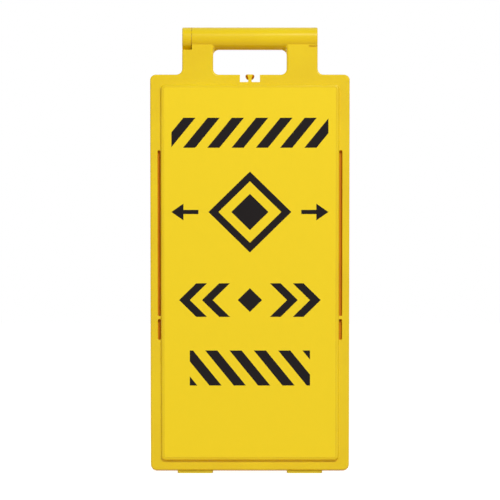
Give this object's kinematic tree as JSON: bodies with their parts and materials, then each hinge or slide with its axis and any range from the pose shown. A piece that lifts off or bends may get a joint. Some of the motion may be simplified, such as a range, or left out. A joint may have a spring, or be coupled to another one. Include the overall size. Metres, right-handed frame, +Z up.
{
  "type": "folding floor sign stand",
  "caption": "Folding A-frame floor sign stand: moulded yellow panels on a handle-tube hinge, held open by stay arms, with raised label faces.",
  "frame": {"origin": "on the floor, midway between the feet, under the hinge axis", "axes": "+Z up through the hinge, X along the hinge rod, -Y towards the front panel"},
  "size_m": [0.28, 0.2838, 0.624],
  "materials": {
    "panel_plastic": "fine moulded grain",
    "label_vinyl": "printed satin film",
    "foot_pad": "matte",
    "plated_steel": "zinc plated"
  },
  "bodies": {
    "front_leaf": {"front_panel": "panel_plastic", "front_label": "label_vinyl", "hinge_rod": "plated_steel", "rod_cap_right": "panel_plastic", "front_left_foot": "foot_pad", "front_right_foot": "foot_pad"},
    "rear_leaf": {"rear_panel": "panel_plastic", "rear_label": "label_vinyl", "rod_cap_left": "panel_plastic", "rear_left_foot": "foot_pad", "rear_right_foot": "foot_pad"},
    "left_stay": {"left_arm": "panel_plastic", "left_pivot_rivet": "plated_steel", "left_pivot_washer": "plated_steel", "left_slide_rivet": "plated_steel", "left_slide_washer": "plated_steel"},
    "right_stay": {"right_arm": "panel_plastic", "right_pivot_rivet": "plated_steel", "right_pivot_washer": "plated_steel", "right_slide_rivet": "plated_steel", "right_slide_washer": "plated_steel"}
  },
  "joints": [
    {"name": "fold", "type": "hinge", "parent": "front_leaf", "child": "rear_leaf", "pos_m": [0, 0, 0.60786], "axis": [-1, 0, 0], "range_deg": [0, 24]},
    {"name": "left_stay_swing", "type": "hinge", "parent": "front_leaf", "child": "left_stay", "pos_m": [-0.1285, -0.03535, 0.44157], "axis": [-1, 0, 0], "range_deg": [0, 39.5]},
    {"name": "right_stay_swing", "type": "hinge", "parent": "rear_leaf", "child": "right_stay", "pos_m": [0.1285, 0.03535, 0.44157], "axis": [1, 0, 0], "range_deg": [0, 39.5]}
  ],
  "couplings": [
    {"joint": "left_stay_swing", "follows": "fold", "ratio": 1.6426},
    {"joint": "right_stay_swing", "follows": "fold", "ratio": 1.6426}
  ]
}
